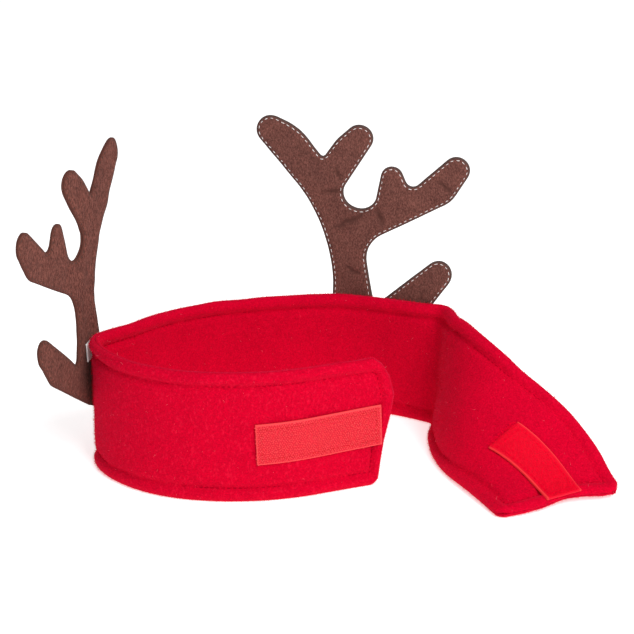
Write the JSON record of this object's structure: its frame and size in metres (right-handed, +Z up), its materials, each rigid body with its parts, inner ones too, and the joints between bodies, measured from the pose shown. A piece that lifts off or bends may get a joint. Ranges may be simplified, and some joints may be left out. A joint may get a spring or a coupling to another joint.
{
  "type": "reindeer antler headband",
  "caption": "Padded soft headband that closes at the back of the head with hook and loop tape, with two flat felt reindeer antlers sewn to its outside.",
  "frame": {"origin": "middle of the object's box seen from above, on the surface it stands on", "axes": "+Z up; +X from the left antler to the loop tape end that lies down; +Y towards the forehead side, away from the closure"},
  "size_m": [0.341, 0.167, 0.1954],
  "materials": {
    "band_cloth": "soft brushed pile",
    "band_lining": "soft brushed pile",
    "hook_tape": "woven hook tape",
    "loop_tape": "woven loop tape",
    "antler_felt": "matt felt",
    "antler_felt_outer": "matt felt",
    "label": "smooth ribbon"
  },
  "bodies": {
    "root": {"band_outer_layer": "band_cloth", "band_inner_layer": "band_lining", "hook_tape": "hook_tape", "loop_tape": "loop_tape", "antler_left_inner_felt": "antler_felt", "antler_left_outer_felt": "antler_felt_outer", "antler_right_inner_felt": "antler_felt", "antler_right_outer_felt": "antler_felt_outer", "blank_label": "label"}
  },
  "joints": []
}
